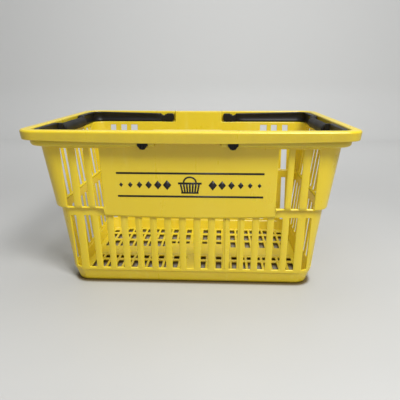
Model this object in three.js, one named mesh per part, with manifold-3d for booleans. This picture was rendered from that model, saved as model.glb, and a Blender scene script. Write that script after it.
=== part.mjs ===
// A hand-held shopping basket: one moulded shell and two fold-down handles that
// lie in a trough under the rim. Each handle turns on two snap-in pivot clips and
// carries a round grip sleeve.
//
// Millimetres, +Z up. The origin is the middle of the underside, +X runs along the
// long side and -Y faces the front.

import * as THREE from 'three';
import { mergeVertices } from 'three/addons/utils/BufferGeometryUtils.js';
import Module from 'manifold-3d';

const wasm = await Module();
wasm.setup();

// ---- driving dimensions: shell ----
const rimLength = 431.8;
const rimWidth = 304.8;
const height = 225.7;
const wall = 2.5;
const rimRadius = 26;
const skirtDepth = 12.7;
const skirtThickness = 2.2;
const flangeThickness = 2.4;
const bodyRadius = 24;
const baseRadius = 20;

// How far the outer wall stands inside the rim's outline, at the ends of each tier.
const tiers = {
  base: { bottom: 0, top: 20, insetBottom: 47, insetTop: 41.8, radius: baseRadius },
  lower: { bottom: 20, top: 116, insetBottom: 40.6, insetTop: 32.4, radius: bodyRadius },
  upper: { bottom: 116, top: height, insetBottom: 28.1, insetTop: 16.2, radius: bodyRadius },
};

// The solid panel in the middle of the front and rear walls hangs below the belt.
const panelHalfLength = 114.7;
const panelBottom = 103.5;

// ---- driving dimensions: slots ----
const slotPitch = 20.1;
const lowerSlot = { bottom: 24, top: 103, width: 11, endWidth: 7 };
const upperSlot = { bottom: 118.8, top: 201, width: 10, innerWidth: 13 };
const longSideSlots = 8;
const shortSideSlots = 4;
const shortSideSlotWidth = 13;
const shortSideEndSlot = 98;
const upperSlotStart = 6;
const upperSlotEnd = 8;

// ---- driving dimensions: floor ----
const floorThickness = 5;
const floorSlot = { first: 15.5, pitch: 12.5, width: 8.5, count: 12 };
const floorRow = {
  inner: { start: 26, end: 38 },
  innerLong: { start: 12, end: 38 },
  middle: { start: 45, end: 70 },
  outer: { start: 77.5, end: 97 },
  outerCorner: { start: 77.5, end: 89 },
};
const plainCentreHalf = 47;
const floorBead = { halfLength: 150, start: -21.6, end: -19.2, top: 5.8 };

// ---- driving dimensions: handle trough ----
const troughEnd = 43.5;
const ledgeInset = 9.4;
const ledgeBottom = 204.5;
const shelfTop = 206.5;
const ledgeRadius = 22;

// ---- driving dimensions: handles ----
const gap = 0.3;
const pivotX = 56.5;
const pivotZ = 213.5;
const handleReach = 201;
const handleBottom = shelfTop + gap;
const strap = { outerY: 139.8, innerY: 133, inboardX: 194.2, cornerRadius: 21 };
const strapTop = { atTail: 221, atCrossbar: 223.8 };
const tailX = 46;
const ear = { outerY: 138.5, innerY: 134.6, end: 71, cornerRadius: 4 };
const notch = { centre: 64.5, halfWidth: 6, depth: 3.5 };
const pinRadius = 3.2;
const grip = { halfLength: 48.5, centreX: 192.8, centreZ: 214.8, radius: 8 };
const core = { halfX: 3.5, halfZ: 4.8, shoulder: 5 };

// ---- driving dimensions: pivot clips ----
const clip = { halfWidth: 6.3, innerY: 138.8, plateY: 140.2, faceY: 144.2 };
const clipFoot = { top: 209.7, kneeZ: 206, bottom: 201.2, tipHalfWidth: 2.6 };
const clipSlit = { offset: 2.1, width: 0.9, top: 207 };
const shelfOpening = { start: 44, end: 69.5, innerY: 134.1 };

const yellow = new THREE.Color('#d9c03a');
const black = new THREE.Color('#1c1b18');

// ---- helpers ----

function toSolid(geometry) {
  geometry.deleteAttribute('normal');
  geometry.deleteAttribute('uv');
  const merged = mergeVertices(geometry, 1e-4);
  return new wasm.Manifold(new wasm.Mesh({
    numProp: 3,
    vertProperties: new Float32Array(merged.attributes.position.array),
    triVerts: new Uint32Array(merged.index.array),
  }));
}

function toMesh(solid, name, color, roughness) {
  const { vertProperties, triVerts } = solid.getMesh();
  const geometry = new THREE.BufferGeometry();
  geometry.setAttribute('position', new THREE.BufferAttribute(vertProperties, 3));
  geometry.setIndex(new THREE.BufferAttribute(triVerts, 1));
  geometry.computeVertexNormals();
  const material = new THREE.MeshStandardMaterial({ color, roughness, metalness: 0 });
  const mesh = new THREE.Mesh(geometry, material);
  mesh.name = name;
  return mesh;
}

function block(x0, x1, y0, y1, z0, z1) {
  const geometry = new THREE.BoxGeometry(Math.abs(x1 - x0), Math.abs(y1 - y0), Math.abs(z1 - z0));
  geometry.translate((x0 + x1) / 2, (y0 + y1) / 2, (z0 + z1) / 2);
  return toSolid(geometry);
}

function prism(shape, depth) {
  return new THREE.ExtrudeGeometry(shape, { depth, bevelEnabled: false, steps: 1, curveSegments: 5 });
}

// A shape drawn in X and Z, carried along Y from y0 to y1.
function sidePrism(shape, y0, y1) {
  const geometry = prism(shape, y1 - y0);
  geometry.rotateX(Math.PI / 2);
  geometry.translate(0, y1, 0);
  return toSolid(geometry);
}

// A round bar along Y.
function barAlongY(radius, x, z, y0, y1, sides) {
  const geometry = new THREE.CylinderGeometry(radius, radius, y1 - y0, sides);
  geometry.translate(x, (y0 + y1) / 2, z);
  return toSolid(geometry);
}

function roundedRectangle(halfX, halfY, radius) {
  const shape = new THREE.Shape();
  shape.moveTo(-halfX + radius, -halfY);
  shape.absarc(halfX - radius, -halfY + radius, radius, -Math.PI / 2, 0);
  shape.absarc(halfX - radius, halfY - radius, radius, 0, Math.PI / 2);
  shape.absarc(-halfX + radius, halfY - radius, radius, Math.PI / 2, Math.PI);
  shape.absarc(-halfX + radius, -halfY + radius, radius, Math.PI, Math.PI * 1.5);
  return shape;
}

// A rounded rectangle that stands insetBottom inside the rim's outline at the bottom
// and insetTop inside it at the top, with the same corner radius all the way up.
function frustum({ bottom, top, insetBottom, insetTop, radius }) {
  const outline = roundedRectangle(rimLength / 2 - insetBottom, rimWidth / 2 - insetBottom, radius);
  const geometry = prism(outline, top - bottom);
  const lean = insetTop - insetBottom;
  const position = geometry.attributes.position;
  for (let i = 0; i < position.count; i += 1) {
    const share = position.getZ(i) / (top - bottom);
    position.setX(i, position.getX(i) - Math.sign(position.getX(i)) * lean * share);
    position.setY(i, position.getY(i) - Math.sign(position.getY(i)) * lean * share);
  }
  geometry.translate(0, 0, bottom);
  return toSolid(geometry);
}

// The same tier between two other heights, moved inwards by extra.
function tierBetween(tier, bottom, top, extra = 0) {
  const slope = (tier.insetTop - tier.insetBottom) / (tier.top - tier.bottom);
  return frustum({
    bottom,
    top,
    insetBottom: tier.insetBottom + slope * (bottom - tier.bottom) + extra,
    insetTop: tier.insetBottom + slope * (top - tier.bottom) + extra,
    radius: tier.radius - extra,
  });
}

function straightRing(bottom, top, inset, radius) {
  return frustum({ bottom, top, insetBottom: inset, insetTop: inset, radius });
}

// Everything further than x from the middle, on both ends.
function beyond(x) {
  return block(-rimLength, -x, -rimWidth, rimWidth, -1, height + 10)
    .add(block(x, rimLength, -rimWidth, rimWidth, -1, height + 10));
}

// ---- basket shell ----

function panelRegion(halfLength) {
  return block(-halfLength, halfLength, -rimWidth, rimWidth, -1, height + 10);
}

function shellOutside() {
  const body = frustum(tiers.base)
    .add(frustum(tiers.lower))
    .add(frustum(tiers.upper));
  const panel = tierBetween(tiers.upper, panelBottom, tiers.upper.bottom).intersect(panelRegion(panelHalfLength));
  const rim = straightRing(height - skirtDepth, height, 0, rimRadius)
    .subtract(straightRing(height - skirtDepth - 1, height - flangeThickness, skirtThickness, rimRadius - 2));
  const ledge = straightRing(ledgeBottom, height - flangeThickness / 2, ledgeInset, ledgeRadius)
    .intersect(beyond(troughEnd - wall));
  return body.add(panel).add(rim).add(ledge);
}

function shellInside() {
  const step = tiers.upper.bottom + wall;
  const cavity = tierBetween(tiers.base, floorThickness, tiers.base.top, wall)
    .add(tierBetween(tiers.lower, tiers.lower.bottom, step, wall))
    .add(tierBetween(tiers.upper, step, height + 1, wall));
  const behindPanel = tierBetween(tiers.upper, panelBottom + wall, step + 1, wall)
    .intersect(panelRegion(panelHalfLength - wall));
  const trough = straightRing(shelfTop, height + 1, ledgeInset + wall, ledgeRadius - wall)
    .intersect(beyond(troughEnd));
  return cavity.add(behindPanel).add(trough);
}

function frontAndRearSlot(x, width, { bottom, top }) {
  return block(x - width / 2, x + width / 2, -rimWidth, rimWidth, bottom, top);
}

function endSlot(y, width, { bottom, top }) {
  return block(-rimLength, rimLength, y - width / 2, y + width / 2, bottom, top);
}

function wallSlots() {
  const slots = [];
  for (let i = -longSideSlots; i <= longSideSlots; i += 1) {
    const width = Math.abs(i) === longSideSlots ? lowerSlot.endWidth : lowerSlot.width;
    slots.push(frontAndRearSlot(i * slotPitch, width, lowerSlot));
    if (Math.abs(i) >= upperSlotStart) {
      const upperWidth = Math.abs(i) === upperSlotStart ? upperSlot.innerWidth : upperSlot.width;
      slots.push(frontAndRearSlot(i * slotPitch, upperWidth, upperSlot));
    }
  }
  for (const zone of [lowerSlot, upperSlot]) {
    for (let i = -shortSideSlots; i <= shortSideSlots; i += 1) {
      slots.push(endSlot(i * slotPitch, shortSideSlotWidth, zone));
    }
    slots.push(endSlot(-shortSideEndSlot, lowerSlot.endWidth, zone));
    slots.push(endSlot(shortSideEndSlot, lowerSlot.endWidth, zone));
  }
  return slots;
}

// The floor is a grid of narrow openings that leaves a plain cross in the middle. Behind
// the cross, the rows nearest to it are longer outside the plain centre. The last opening
// of an outer row is short, to clear the base's rounded corner.
function floorOpenings() {
  const openings = [];
  for (let i = 0; i < floorSlot.count; i += 1) {
    const x = floorSlot.first + i * floorSlot.pitch;
    const outer = i === floorSlot.count - 1 ? floorRow.outerCorner : floorRow.outer;
    const rearInner = x > plainCentreHalf ? floorRow.innerLong : floorRow.inner;
    for (const sideX of [-1, 1]) {
      for (const row of [floorRow.inner, floorRow.middle, outer]) {
        openings.push(floorOpening(sideX * x, -row.end, -row.start));
      }
      for (const row of [rearInner, floorRow.middle, outer]) {
        openings.push(floorOpening(sideX * x, row.start, row.end));
      }
    }
  }
  return openings;
}

function floorOpening(x, front, rear) {
  const half = floorSlot.width / 2;
  return block(x - half, x + half, front, rear, -1, floorThickness + 1);
}

// Where a handle's end turns, the shelf is open for its tail and the ledge's outer
// wall has a window for the foot of the pivot clip.
function pivotOpenings() {
  const openings = [];
  for (const sideX of [-1, 1]) {
    for (const sideY of [-1, 1]) {
      const outerY = rimWidth / 2 - ledgeInset - wall;
      openings.push(block(
        sideX * shelfOpening.start, sideX * shelfOpening.end,
        sideY * shelfOpening.innerY, sideY * outerY,
        ledgeBottom - 1, shelfTop + 1,
      ));
      openings.push(block(
        sideX * (pivotX - clip.halfWidth - gap), sideX * (pivotX + clip.halfWidth + gap),
        sideY * (outerY - 1), sideY * (outerY + wall + 1),
        ledgeBottom - 1, clipFoot.top + gap,
      ));
    }
  }
  return openings;
}

function basketShell() {
  let solid = shellOutside().subtract(shellInside());
  for (const cut of [...wallSlots(), ...floorOpenings(), ...pivotOpenings()]) {
    solid = solid.subtract(cut);
  }
  const { halfLength, start, end, top } = floorBead;
  solid = solid.add(block(-halfLength, halfLength, start, end, floorThickness - 1, top));
  return toMesh(solid, 'basket_shell', yellow, 0.42);
}

// ---- handles: both are drawn as the left one, and side = 1 mirrors it ----

// The strap seen from the front: round-cornered tail, notched top edge.
function strapProfile(side) {
  const left = side * (handleReach + 1);
  const tail = side * tailX;
  const round = ear.cornerRadius * side;
  const shape = new THREE.Shape();
  shape.moveTo(left, handleBottom);
  shape.lineTo(tail + round, handleBottom);
  shape.quadraticCurveTo(tail, handleBottom, tail, handleBottom + ear.cornerRadius);
  shape.lineTo(tail, strapTop.atTail - ear.cornerRadius);
  shape.quadraticCurveTo(tail, strapTop.atTail, tail + round, strapTop.atTail);
  shape.lineTo(side * (notch.centre - notch.halfWidth), strapTop.atTail);
  shape.quadraticCurveTo(
    side * notch.centre, strapTop.atTail - 2 * notch.depth,
    side * (notch.centre + notch.halfWidth), strapTop.atTail,
  );
  shape.lineTo(left, strapTop.atCrossbar);
  return shape;
}

function handle(side, name) {
  const plan = roundedRectangle(handleReach, strap.outerY, strap.cornerRadius);
  const inner = roundedRectangle(
    strap.inboardX, strap.innerY, strap.cornerRadius - (handleReach - strap.inboardX),
  );
  const loop = prism(plan, height - handleBottom);
  const hole = prism(inner, height);
  loop.translate(0, 0, handleBottom);
  hole.translate(0, 0, handleBottom - 1);
  let solid = toSolid(loop)
    .subtract(toSolid(hole))
    .intersect(sidePrism(strapProfile(side), -strap.outerY - 1, strap.outerY + 1));

  // Thinner ears at the pivots.
  for (const sideY of [-1, 1]) {
    const earBox = [side * (tailX - 1), side * ear.end];
    solid = solid
      .subtract(block(...earBox, sideY * ear.innerY, sideY * (strap.innerY - 1), 200, height))
      .subtract(block(...earBox, sideY * ear.outerY, sideY * (strap.outerY + 1), 200, height));
  }
  solid = solid.subtract(
    barAlongY(pinRadius + gap, side * pivotX, pivotZ, -strap.outerY - 2, strap.outerY + 2, 16),
  );

  // The crossbar is stepped down to a core inside the grip, between two shoulders.
  const gripEnd = grip.halfLength + gap;
  const inboard = side * (grip.centreX - core.halfX);
  solid = solid
    .subtract(block(side * (strap.inboardX - 2), side * (handleReach + 2), -gripEnd, gripEnd, 200, height + 5))
    .add(block(
      inboard, side * (grip.centreX + core.halfX),
      -gripEnd - core.shoulder, gripEnd + core.shoulder,
      grip.centreZ - core.halfZ, grip.centreZ + core.halfZ,
    ));
  for (const sideY of [-1, 1]) {
    solid = solid.add(block(
      inboard, side * (handleReach - 0.5),
      sideY * gripEnd, sideY * (gripEnd + core.shoulder),
      handleBottom, strapTop.atCrossbar - 1,
    ));
  }
  return toMesh(solid, name, black, 0.5);
}

function gripSleeve(side, name) {
  const x = side * grip.centreX;
  const sleeve = barAlongY(grip.radius, x, grip.centreZ, -grip.halfLength, grip.halfLength, 24);
  const channel = block(
    x - core.halfX - gap, x + core.halfX + gap,
    -grip.halfLength - 1, grip.halfLength + 1,
    grip.centreZ - core.halfZ - gap, grip.centreZ + core.halfZ + gap,
  );
  return toMesh(sleeve.subtract(channel), name, black, 0.6);
}

// ---- pivot clips ----

// A plate between the handle's ear and the ledge, with the pin on its inner face and
// a pronged foot that snaps out through the window in the ledge.
function pivotClip(sideX, sideY, name) {
  const x = sideX * pivotX;
  const foot = new THREE.Shape([
    new THREE.Vector2(x - clip.halfWidth, clipFoot.top),
    new THREE.Vector2(x - clip.halfWidth, clipFoot.kneeZ),
    new THREE.Vector2(x - clipFoot.tipHalfWidth, clipFoot.bottom),
    new THREE.Vector2(x + clipFoot.tipHalfWidth, clipFoot.bottom),
    new THREE.Vector2(x + clip.halfWidth, clipFoot.kneeZ),
    new THREE.Vector2(x + clip.halfWidth, clipFoot.top),
  ]);
  const [footNear, footFar] = [sideY * clip.innerY, sideY * clip.faceY].sort((a, b) => a - b);
  const [pinNear, pinFar] = [sideY * (ear.innerY + gap), sideY * (clip.innerY + 0.5)].sort((a, b) => a - b);
  let solid = sidePrism(foot, footNear, footFar)
    .add(block(
      x - clip.halfWidth, x + clip.halfWidth,
      sideY * clip.innerY, sideY * clip.plateY,
      clipFoot.kneeZ, pivotZ + clip.halfWidth,
    ))
    .add(barAlongY(pinRadius, x, pivotZ, pinNear, pinFar, 16));
  for (const end of [-1, 1]) {
    const slitX = x + end * clipSlit.offset;
    solid = solid.subtract(block(
      slitX - clipSlit.width / 2, slitX + clipSlit.width / 2,
      sideY * (clip.plateY + gap), sideY * (clip.faceY + 1),
      clipFoot.bottom - 1, clipSlit.top,
    ));
  }
  return toMesh(solid, name, black, 0.55);
}

// ---- assembly ----

const group = new THREE.Group();
group.add(basketShell());
for (const [sideX, endName] of [[-1, 'left'], [1, 'right']]) {
  group.add(handle(sideX, `${endName}_handle`));
  group.add(gripSleeve(sideX, `${endName}_grip`));
  for (const [sideY, faceName] of [[-1, 'front'], [1, 'rear']]) {
    group.add(pivotClip(sideX, sideY, `${faceName}_${endName}_pivot_clip`));
  }
}

export default group;
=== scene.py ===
"""A shop hand basket: moulded shell, strap handles with grips, pivot clips and a printed mark."""

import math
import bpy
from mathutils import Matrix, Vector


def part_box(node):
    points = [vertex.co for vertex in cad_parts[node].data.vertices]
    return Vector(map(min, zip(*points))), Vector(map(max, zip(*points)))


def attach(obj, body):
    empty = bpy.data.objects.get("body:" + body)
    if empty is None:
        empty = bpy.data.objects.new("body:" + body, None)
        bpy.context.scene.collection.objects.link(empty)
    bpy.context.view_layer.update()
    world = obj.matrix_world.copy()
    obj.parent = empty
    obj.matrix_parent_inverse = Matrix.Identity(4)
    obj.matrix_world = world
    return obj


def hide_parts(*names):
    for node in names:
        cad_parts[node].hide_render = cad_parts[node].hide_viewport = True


bl_info = {
    "name": "Hand Basket",
    "version": (1, 0, 0),
    "blender": (4, 5, 0),
    "location": "3D View > Sidebar > Basket",
    "description": "Builds a slotted hand basket with folding handles round its CAD frame",
    "category": "Add Mesh",
}

import bpy
import numpy as np
from bpy.props import FloatProperty, FloatVectorProperty, PointerProperty
from mathutils import Matrix, Vector

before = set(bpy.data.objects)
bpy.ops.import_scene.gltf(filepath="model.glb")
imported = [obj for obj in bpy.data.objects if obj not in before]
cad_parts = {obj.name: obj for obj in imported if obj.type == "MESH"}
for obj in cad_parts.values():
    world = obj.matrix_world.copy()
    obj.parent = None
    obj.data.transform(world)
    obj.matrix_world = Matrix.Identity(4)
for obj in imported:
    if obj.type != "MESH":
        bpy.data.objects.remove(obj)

MM = 0.001  # every length below is in millimetres until it becomes a mesh

SHELL_LOW, SHELL_HIGH = (np.array(corner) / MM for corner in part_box("basket_shell"))
RIM_LENGTH, RIM_WIDTH, HEIGHT = SHELL_HIGH - SHELL_LOW


# ---------------------------------------------------------------- slots and steps of the shell

WALL = 2.5
SLOT_PITCH = 20.1
SLOT_WIDTH = 11.0
SHORT_SIDE_SLOT_WIDTH = 13.0
LONG_SIDE_SLOTS = 8
SHORT_SIDE_SLOTS = 4
END_SLOT_WIDTH = 7.0
SHORT_END_SLOT = 98.0
UPPER_SLOTS = {6: (115.1, 127.6), 7: (135.2, 146.2), 8: (155.8, 165.8)}
SHORT_SIDE_LIMIT = SHORT_END_SLOT + END_SLOT_WIDTH / 2
CORNER_STEPS = 9

# Starts and ends along the front and rear walls.
TROUGH_START = (43.0, 44.0)
PANEL_END = (113.6, 115.1)
SHELF_HOLE = (45.7, 69.5)
CLIP_WINDOW = (49.9, 63.1)

# Heights, insets from the rim's outline, and corner radii.
BASE_TOP, STEP_HEIGHT, UPPER_SLOT_TOP = 20.0, 116.0, 201.0
LOWER_SLOT_BOTTOM, BELT_SLOT_TOP, PANEL_SLOT_TOP, PANEL_LIP = 24.0, 105.0, 102.4, 3.4
CROWN_START, UPPER_CROWN = 3.0, (123.0, 198.0)
SHELF_TOP, WINDOW_TOP, BELOW_FLANGE, LEDGE_INSET = 206.5, 210.2, 222.6, 11.9
SKIRT_DEPTH, SKIRT_DRAFT = 12.7, 1.2
INNER_ROUND, OUTER_ROUND = 2, 3
RIM_RADIUS, BODY_RADIUS, BASE_RADIUS, LEDGE_RADIUS = 26.0, 21.5, 17.5, 19.5
BASE_CURVE = [
    ("floor edge", 2.6, 53.5, 15.0),
    ("", 2.6, 51.0, 15.5),
    ("", 2.9, 49.6, 16.0),
    ("", 3.9, 48.6, 17.0),
    ("", 5.6, 48.05, BASE_RADIUS),
    ("", 19.2, 44.5, 18.5),
    ("", 20.6, 43.05, 21.0),
]
CENTRE_HEIGHTS = {
    204.6: "",
    205.6: "",
    206.2: "",
    206.9: "shelf in",
    207.5: "shelf out",
    208.2: "",
    209.0: "",
    WINDOW_TOP: "window top",
    BELOW_FLANGE: "",
}

# How much of a corner's arc the last rows of a wall may take, and over what stretch they slide in.
LONG_BEND_SHARE, SHORT_BEND_SHARE, SLIDING_STRETCH = 0.682, 0.656, 26.0

# The bow reaches the rim's top rows in full after a few rows, and its skirt hangs lower still.
BOW_ROWS, BOW_RISE, TOP_BOW, SKIRT_BOW = 8, 6, 0.4, 0.6


def lower_inset(z):
    """Inner face of the lower wall: straight line from 43.1 mm inside the rim at the base step."""
    return 43.1 - (z - BASE_TOP) * 8.2 / 96


def upper_inset(z):
    """Inner face of the upper wall: straight line from 30.6 mm inside the rim at the belt."""
    return 30.6 - (z - STEP_HEIGHT) * 11.9 / 109.7


# ---------------------------------------------------------------- settings a user would change


def length_setting(name, description, size):
    """A length that a user can change, with its default in millimetres."""
    return FloatProperty(name=name, description=description, default=size * MM, unit="LENGTH")


def angle_setting(name, description, degrees):
    """An angle that a user can change, with its default in degrees."""
    return FloatProperty(name=name, description=description, default=math.radians(degrees), unit="ROTATION")


def colour_setting(name, description, red, green, blue):
    """A colour that a user can change."""
    return FloatVectorProperty(
        name=name,
        description=description,
        subtype="COLOR",
        size=4,
        min=0,
        max=1,
        default=(red, green, blue, 1),
    )


class BasketShellSizes(bpy.types.PropertyGroup):
    wall: length_setting("Wall", "Thickness of the moulded wall", WALL)
    edge: length_setting("Edge", "Rounding of the slots' edges", 0.8)
    bulge: length_setting("Bulge", "How far the middle of a bar stands out", 1.0)
    floor_top: length_setting("Floor top", "Height of the floor's upper face", 5.0)
    floor: length_setting("Floor", "Depth of the floor's grid", 2.4)
    bow: length_setting("Rim bow", "How much lower the skirt hangs in the middle of a long side", 3.4)


class BasketHandleSizes(bpy.types.PropertyGroup):
    edge: length_setting("Strap edge", "Rounding of the strap's edges", 1.2)
    recess: length_setting("Recess", "Depth of the channel in the strap's faces", 0.7)


class BasketFinish(bpy.types.PropertyGroup):
    shell: colour_setting("Shell", "Colour of the moulded shell", 0.72, 0.545, 0.018)
    scuff: colour_setting("Scuff", "Paler colour of rubbed plastic", 0.75, 0.61, 0.085)
    # also painted shade: the same colour darkens the rim's outer skirt
    grime_and_shade: colour_setting("Grime and shade", "Colour of the dirt that dulls the shell and of the painted shade on the rim's skirt", 0.34, 0.23, 0.02)
    handle: colour_setting("Handle", "Colour of the straps and clips", 0.005, 0.0045, 0.0032)
    ink: colour_setting("Ink", "Colour of the printed mark", 0.012, 0.011, 0.010)


class BasketStage(bpy.types.PropertyGroup):
    lens: FloatProperty(
        name="Lens", description="Focal length in millimetres", default=37.49, min=10, max=200
    )
    camera: FloatVectorProperty(
        name="Camera",
        description="Where the camera stands",
        subtype="TRANSLATION",
        unit="LENGTH",
        size=3,
        default=(0.0393, -0.6557, 0.2908),
    )
    pitch: angle_setting("Pitch", "How far the camera looks down", 16.75)
    yaw: angle_setting("Yaw", "How far the camera looks to the left", 2.66)
    roll: angle_setting("Roll", "How far the camera leans", -0.11)


# ---------------------------------------------------------------- meshes

SHARP_ANGLE = 40  # degrees, past which an edge is rounded


def add_mesh(name, points, faces, body, slot, material, replaced=()):
    """Makes one smooth piece from an array of points in millimetres and a list of faces, and puts it
    on its body."""
    mesh = bpy.data.meshes.new(name)
    mesh.from_pydata((np.asarray(points, float) * MM).tolist(), [], faces)
    mesh.validate()
    mesh.shade_smooth()
    mesh.materials.append(material)
    piece = bpy.data.objects.new(name, mesh)
    bpy.context.collection.objects.link(piece)
    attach(piece, body)
    if replaced:
        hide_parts(*replaced)
    return piece


def merge_points(points, faces):
    """Joins points that lie on each other: equal rounded coordinates become one point, and a face
    that loses a corner keeps its other corners."""
    rounded = np.round(points, 3)
    _, first, renumbered = np.unique(rounded, axis=0, return_index=True, return_inverse=True)
    renumbered = renumbered.reshape(-1)
    merged = []
    for face in faces:
        corners = list(dict.fromkeys(int(renumbered[c]) for c in face))
        if len(corners) > 2:
            merged.append(corners)
    return points[first], merged


def thicken(piece, depth, edge):
    """Gives a sheet its thickness on the side away from its normals, rounds its sharp edges in two
    steps, and keeps large faces flat in shading."""
    solid = piece.modifiers.new("wall", "SOLIDIFY")
    solid.thickness = depth
    solid.offset = -1
    solid.use_even_offset = True
    bevel = piece.modifiers.new("edges", "BEVEL")
    bevel.width = edge
    bevel.segments = 2
    bevel.limit_method = "ANGLE"
    bevel.angle_limit = math.radians(SHARP_ANGLE)
    bevel.use_clamp_overlap = False
    bevel.miter_outer = "MITER_ARC"
    normals = piece.modifiers.new("shading", "WEIGHTED_NORMAL")
    normals.keep_sharp = True


# ---------------------------------------------------------------- the wall sheet


def wall_profile(kind, x):
    """Height, inset from the rim's outline and corner radius of every row of the wall sheet, from the
    floor up over the rim to the skirt's edge. The rows follow the inner face of the wall, then the top
    of the flange and the outer face of the skirt. kind is centre, panel or belt, and x is the distance
    from the middle, which lifts the panel's lower edge along a parabola."""
    if kind == "belt":
        slot_top = BELT_SLOT_TOP
        step = STEP_HEIGHT + WALL
    else:
        slot_top = PANEL_SLOT_TOP + (BELT_SLOT_TOP - PANEL_SLOT_TOP) * (x / PANEL_END[0]) ** 2
        step = slot_top + PANEL_LIP
    rows = list(BASE_CURVE)

    def lower(name, z):
        rows.append((name, z, lower_inset(z), BODY_RADIUS))

    def upper(name, z):
        rows.append((name, z, upper_inset(z), BODY_RADIUS))

    lower("slot bottom", LOWER_SLOT_BOTTOM)
    lower("bar", LOWER_SLOT_BOTTOM + CROWN_START)
    lower("bar", slot_top - CROWN_START)
    lower("slot top", slot_top)
    lower("", step - 0.8)
    rows.append(("", step - 0.1, lower_inset(step) - 0.7, BODY_RADIUS))
    rows.append(("", step, upper_inset(step) + 0.9, BODY_RADIUS))
    upper("upper bottom", step + 0.9)
    upper("upper bar", UPPER_CROWN[0])
    upper("upper bar", UPPER_CROWN[1])
    upper("upper top", UPPER_SLOT_TOP)
    if kind == "centre":
        for height, name in CENTRE_HEIGHTS.items():
            upper(name, height)
        inner, inner_radius = upper_inset(HEIGHT - INNER_ROUND), BODY_RADIUS
    else:
        wall = upper_inset(SHELF_TOP)
        inner, inner_radius = LEDGE_INSET, LEDGE_RADIUS
        upper("", SHELF_TOP - 1.6)
        rows += [
            ("", SHELF_TOP - 0.9, wall + 0.05, BODY_RADIUS),
            ("", SHELF_TOP - 0.3, wall - 0.3, BODY_RADIUS),
            ("shelf in", SHELF_TOP, wall - 1.0, BODY_RADIUS),
            ("shelf out", SHELF_TOP, inner + 1.6, inner_radius),
            ("", SHELF_TOP + 0.45, inner + 0.5, inner_radius),
            ("", SHELF_TOP + 1.6, inner, inner_radius),
            ("window top", WINDOW_TOP, inner, inner_radius),
            ("", BELOW_FLANGE, inner, inner_radius),
        ]
    for angle in (0, 30, 60, 90):
        up, across = math.sin(math.radians(angle)), math.cos(math.radians(angle))
        rows.append(("", HEIGHT - INNER_ROUND * (1 - up), inner - INNER_ROUND * (1 - across), inner_radius))
    for angle in (90, 60, 30, 0):
        up, across = math.sin(math.radians(angle)), math.cos(math.radians(angle))
        inset = OUTER_ROUND * (1 - across)
        rows.append(("", HEIGHT - OUTER_ROUND * (1 - up), inset, RIM_RADIUS - inset))
    rows.append(("skirt", HEIGHT - SKIRT_DEPTH, SKIRT_DRAFT, RIM_RADIUS - SKIRT_DRAFT))
    return rows


def straight_reach(along, half_across, half_along, radius):
    """How far a rounded rectangle's outline stands from the middle line at a place along it: the half
    width on the straight stretch, and the circle's height over the corner."""
    over = np.clip(np.abs(along) - (half_along - radius), 0, radius)
    return half_across - radius + np.sqrt(radius**2 - over**2)


def kept_clear(along, last, half, radius, bend_share):
    """Slides the places near a wall's end inwards on the rows whose corner starts before them: beyond
    the last stretch they keep their share of what is left before bend_share of the corner's radius."""
    start = last - SLIDING_STRETCH
    room = half - radius * (1 - bend_share) - start
    scale = np.clip(room / SLIDING_STRETCH, 0, 1)
    beyond = np.clip(np.abs(along) - start, 0, None)
    return np.sign(along) * (np.minimum(np.abs(along), start) + beyond * scale)


def mirrored(values):
    """Each value and its negative, in rising order."""
    return np.unique(np.round([v for value in values for v in (-value, value)], 4))


def bar_centres(slots):
    """The middle of each bar between two neighbouring slots, on one side of the wall's middle."""
    return [(i + 0.5) * SLOT_PITCH for i in range(slots)]


def long_side_columns():
    """Places along the front or rear wall where the sheet is divided: both edges of every slot, the
    middle of every bar, and the ends of the panel, the trough and the openings round the pivots."""
    edges = []
    for i in range(LONG_SIDE_SLOTS + 1):
        half = (END_SLOT_WIDTH if i == LONG_SIDE_SLOTS else SLOT_WIDTH) / 2
        edges += [i * SLOT_PITCH - half, i * SLOT_PITCH + half]
    edges += bar_centres(LONG_SIDE_SLOTS)
    for start, end in UPPER_SLOTS.values():
        edges += [start, end]
    edges += [*TROUGH_START, *PANEL_END, SHELF_HOLE[1], *CLIP_WINDOW]
    return mirrored(np.abs(edges))


def short_side_columns():
    """Places along an end wall where the sheet is divided: both edges of every slot, and the middle of
    every bar."""
    edges = bar_centres(SHORT_SIDE_SLOTS) + [SHORT_END_SLOT - END_SLOT_WIDTH / 2, SHORT_SIDE_LIMIT]
    half = SHORT_SIDE_SLOT_WIDTH / 2
    for i in range(SHORT_SIDE_SLOTS + 1):
        edges += [i * SLOT_PITCH - half, i * SLOT_PITCH + half]
    return mirrored(np.abs(edges))


def bar_bulge(names, kinds, along, bulge):
    """How far the middle line of each bar stands out, so that its two halves face slightly apart. The
    bars beside the plain panel only stand out below it."""
    is_lower = np.array([name == "bar" for name in names])[:, None]
    is_upper = np.array([name == "upper bar" for name in names])[:, None]
    short_side = (kinds == "right") | (kinds == "left")
    long_side = (kinds == "front") | (kinds == "rear")
    place = np.abs(along)
    lower = (long_side & np.isin(place, np.round(bar_centres(LONG_SIDE_SLOTS), 4))) | (
        short_side & np.isin(place, np.round(bar_centres(SHORT_SIDE_SLOTS), 4))
    )
    upper = lower & (short_side | (place > PANEL_END[1]))
    return bulge * ((is_lower & lower) | (is_upper & upper))


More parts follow.
